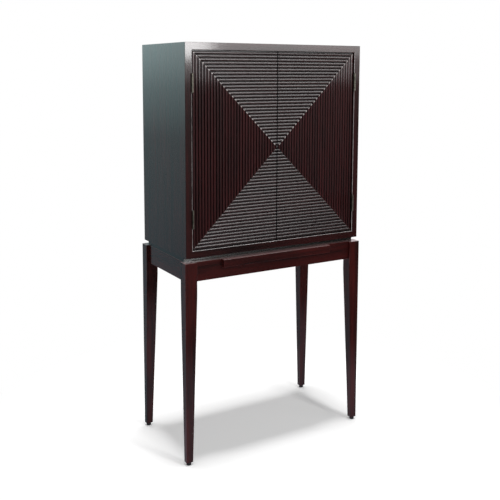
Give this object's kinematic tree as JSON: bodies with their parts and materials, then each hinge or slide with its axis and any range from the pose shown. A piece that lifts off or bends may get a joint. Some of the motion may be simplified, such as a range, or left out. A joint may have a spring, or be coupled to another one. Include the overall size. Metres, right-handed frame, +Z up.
{
  "type": "bar cabinet",
  "caption": "Square bar cabinet with two reeded doors on an open stand with tapered legs, and a serving shelf that pulls out of the stand's front apron.",
  "frame": {"origin": "on the floor, under the middle of the overall box, which reaches from the front of the serving shelf to the back of the legs", "axes": "+X to the right seen from the front, +Y to the back, +Z up; the doors and the serving shelf face -Y"},
  "size_m": [0.916, 0.471, 1.808],
  "materials": {
    "lacquered_mahogany": "dark mahogany stain under a gloss lacquer",
    "reeded_mahogany": "dark mahogany stain under a gloss lacquer, over half-round reeds",
    "plain_wood": "unpolished secondary wood with a thin stain",
    "satin_mahogany": "mahogany stain with a satin lacquer",
    "aged_brass": "aged brass, satin",
    "zinc_steel": "zinc plated",
    "black_plastic": "moulded, fine texture",
    "grey_plastic": "moulded, smooth"
  },
  "bodies": {
    "cabinet": {"back_screws": "zinc_steel", "case_back": "plain_wood", "case_bolts": "zinc_steel", "case_bottom": "lacquered_mahogany", "case_left_side": "lacquered_mahogany", "case_right_side": "lacquered_mahogany", "case_top": "lacquered_mahogany", "corner_blocks": "plain_wood", "front_apron": "lacquered_mahogany", "front_left_glide": "black_plastic", "front_left_leg": "lacquered_mahogany", "front_right_glide": "black_plastic", "front_right_leg": "lacquered_mahogany", "hinge_case_screws": "aged_brass", "hinge_pins": "aged_brass", "left_apron": "lacquered_mahogany", "left_latch_body": "black_plastic", "left_shelf_runner": "plain_wood", "lower_left_hinge_case_leaf": "aged_brass", "lower_right_hinge_case_leaf": "aged_brass", "lower_shelf": "satin_mahogany", "rear_apron": "lacquered_mahogany", "rear_left_glide": "black_plastic", "rear_left_leg": "lacquered_mahogany", "rear_right_glide": "black_plastic", "rear_right_leg": "lacquered_mahogany", "right_apron": "lacquered_mahogany", "right_latch_body": "black_plastic", "right_shelf_runner": "plain_wood", "riser_front": "lacquered_mahogany", "riser_left": "lacquered_mahogany", "riser_rear": "lacquered_mahogany", "riser_right": "lacquered_mahogany", "shelf_supports": "aged_brass", "stand_top_panel": "plain_wood", "upper_left_hinge_case_leaf": "aged_brass", "upper_right_hinge_case_leaf": "aged_brass", "upper_shelf": "satin_mahogany"},
    "left_door": {"left_door_hinge_screws": "aged_brass", "left_door_lower_reeding": "reeded_mahogany", "left_door_panel": "lacquered_mahogany", "left_door_side_reeding": "reeded_mahogany", "left_door_strike": "zinc_steel", "left_door_upper_reeding": "reeded_mahogany", "upper_left_hinge_door_leaf": "aged_brass", "lower_left_hinge_door_leaf": "aged_brass"},
    "right_door": {"right_door_hinge_screws": "aged_brass", "right_door_lower_reeding": "reeded_mahogany", "right_door_panel": "lacquered_mahogany", "right_door_side_reeding": "reeded_mahogany", "right_door_strike": "zinc_steel", "right_door_upper_reeding": "reeded_mahogany", "upper_right_hinge_door_leaf": "aged_brass", "lower_right_hinge_door_leaf": "aged_brass"},
    "serving_shelf": {"serving_shelf_front": "lacquered_mahogany", "serving_shelf_board": "satin_mahogany", "serving_shelf_stop": "plain_wood"},
    "left_plunger": {"left_latch_plunger": "grey_plastic"},
    "right_plunger": {"right_latch_plunger": "grey_plastic"}
  },
  "joints": [
    {"name": "left_door_hinge", "type": "hinge", "parent": "cabinet", "child": "left_door", "pos_m": [-0.418, -0.2225, 1.358], "axis": [0, 0, -1], "range_deg": [0, 180]},
    {"name": "right_door_hinge", "type": "hinge", "parent": "cabinet", "child": "right_door", "pos_m": [0.418, -0.2225, 1.358], "axis": [0, 0, 1], "range_deg": [0, 180]},
    {"name": "serving_shelf_slide", "type": "slide", "parent": "cabinet", "child": "serving_shelf", "axis": [0, -1, 0], "range_m": [0, 0.28]},
    {"name": "left_latch_press", "type": "slide", "parent": "cabinet", "child": "left_plunger", "axis": [0, 1, 0], "range_m": [0, 0.004], "stiffness_N_per_m": 400, "springref_m": -0.003},
    {"name": "right_latch_press", "type": "slide", "parent": "cabinet", "child": "right_plunger", "axis": [0, 1, 0], "range_m": [0, 0.004], "stiffness_N_per_m": 400, "springref_m": -0.003}
  ]
}
